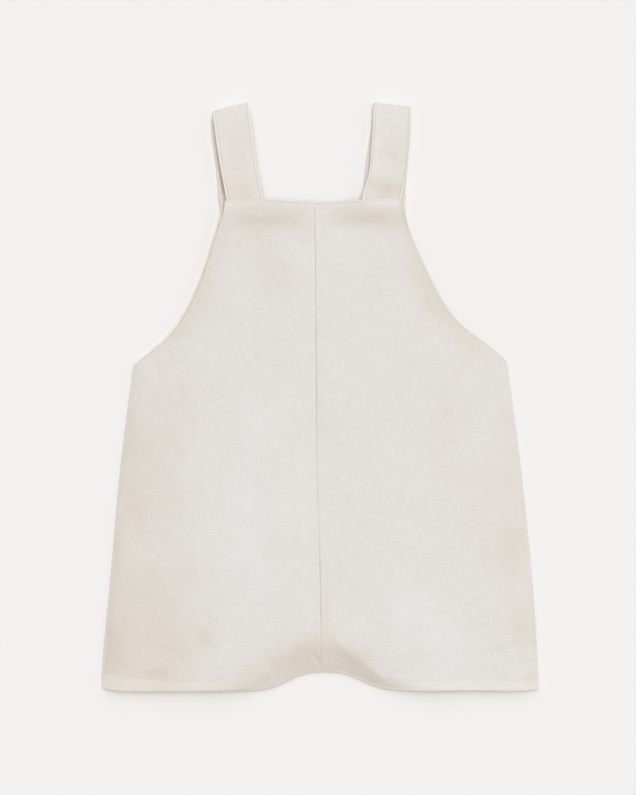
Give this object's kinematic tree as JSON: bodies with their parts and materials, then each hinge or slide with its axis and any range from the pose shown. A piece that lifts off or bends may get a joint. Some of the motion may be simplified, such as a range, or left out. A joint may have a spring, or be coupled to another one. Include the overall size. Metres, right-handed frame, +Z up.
{
  "type": "short dungarees",
  "caption": "Small child's short dungarees in plain off-white woven cloth, with wide straps turned over to the back and very short hemmed legs, laid flat with the front upwards.",
  "frame": {"origin": "on the surface that the garment lies on, under the middle of its outline", "axes": "+X to the right as one looks down on the front, +Y from the leg hems to the straps, +Z up out of the front"},
  "size_m": [0.3269, 0.4418, 0.0113],
  "materials": {
    "back_left_cloth": "matt plain weave",
    "back_right_cloth": "matt plain weave",
    "front_left_cloth": "matt plain weave",
    "front_right_cloth": "matt plain weave",
    "strap_left_cloth": "matt plain weave",
    "strap_right_cloth": "matt plain weave"
  },
  "bodies": {
    "root": {"back_left": "back_left_cloth", "back_right": "back_right_cloth", "front_left": "front_left_cloth", "front_right": "front_right_cloth", "strap_left": "strap_left_cloth", "strap_right": "strap_right_cloth"}
  },
  "joints": []
}
